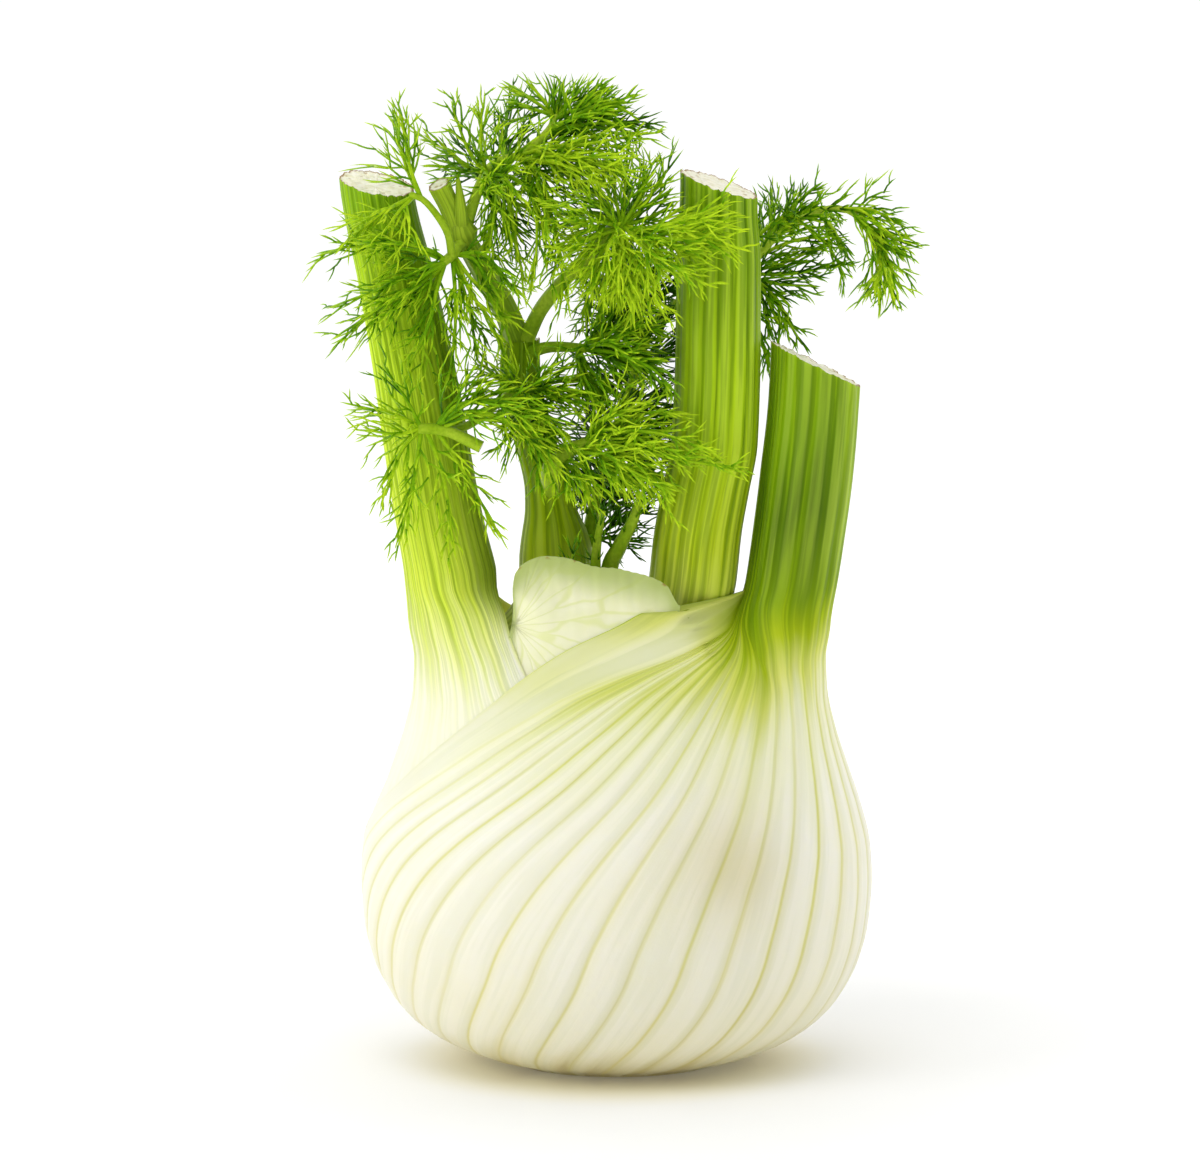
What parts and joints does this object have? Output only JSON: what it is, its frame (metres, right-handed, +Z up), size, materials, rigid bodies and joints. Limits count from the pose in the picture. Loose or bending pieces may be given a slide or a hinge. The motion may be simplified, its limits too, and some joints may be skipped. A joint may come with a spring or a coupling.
{
  "type": "fennel bulb",
  "caption": "Fresh fennel: a pale ribbed bulb of overlapping leaf bases, green stalks cut short on top, and fine feathery fronds rising from the rear stalk.",
  "frame": {"origin": "centre of the flat root cut that the bulb stands on", "axes": "+Z up from the root cut to the frond tips, front towards -Y, the shortest stalk towards +X"},
  "size_m": [0.1195, 0.0842, 0.1952],
  "materials": {
    "outer_leaf_skin": "waxy leaf base, cream white with pale green veins, greener up the stalk",
    "rear_leaf_skin": "waxy, pale cream hood and a yellow-green stalk",
    "green_stalk_skin": "waxy green stalk, striped lengthways",
    "heart_skin": "pale green young shoots and a dry cream root cut",
    "frond_green": "bright green threads",
    "frond_shaded": "darker green threads"
  },
  "bodies": {
    "root": {"leaf_right": "outer_leaf_skin", "leaf_left": "outer_leaf_skin", "leaf_rear": "rear_leaf_skin", "leaf_centre": "green_stalk_skin", "heart": "heart_skin", "frond_left": "frond_green", "frond_crown": "frond_green", "frond_star": "frond_green", "frond_low_left": "frond_green", "frond_low_right": "frond_green", "frond_middle": "frond_green", "frond_mid_left": "frond_green", "frond_back": "frond_shaded", "frond_far_right": "frond_shaded"}
  },
  "joints": []
}
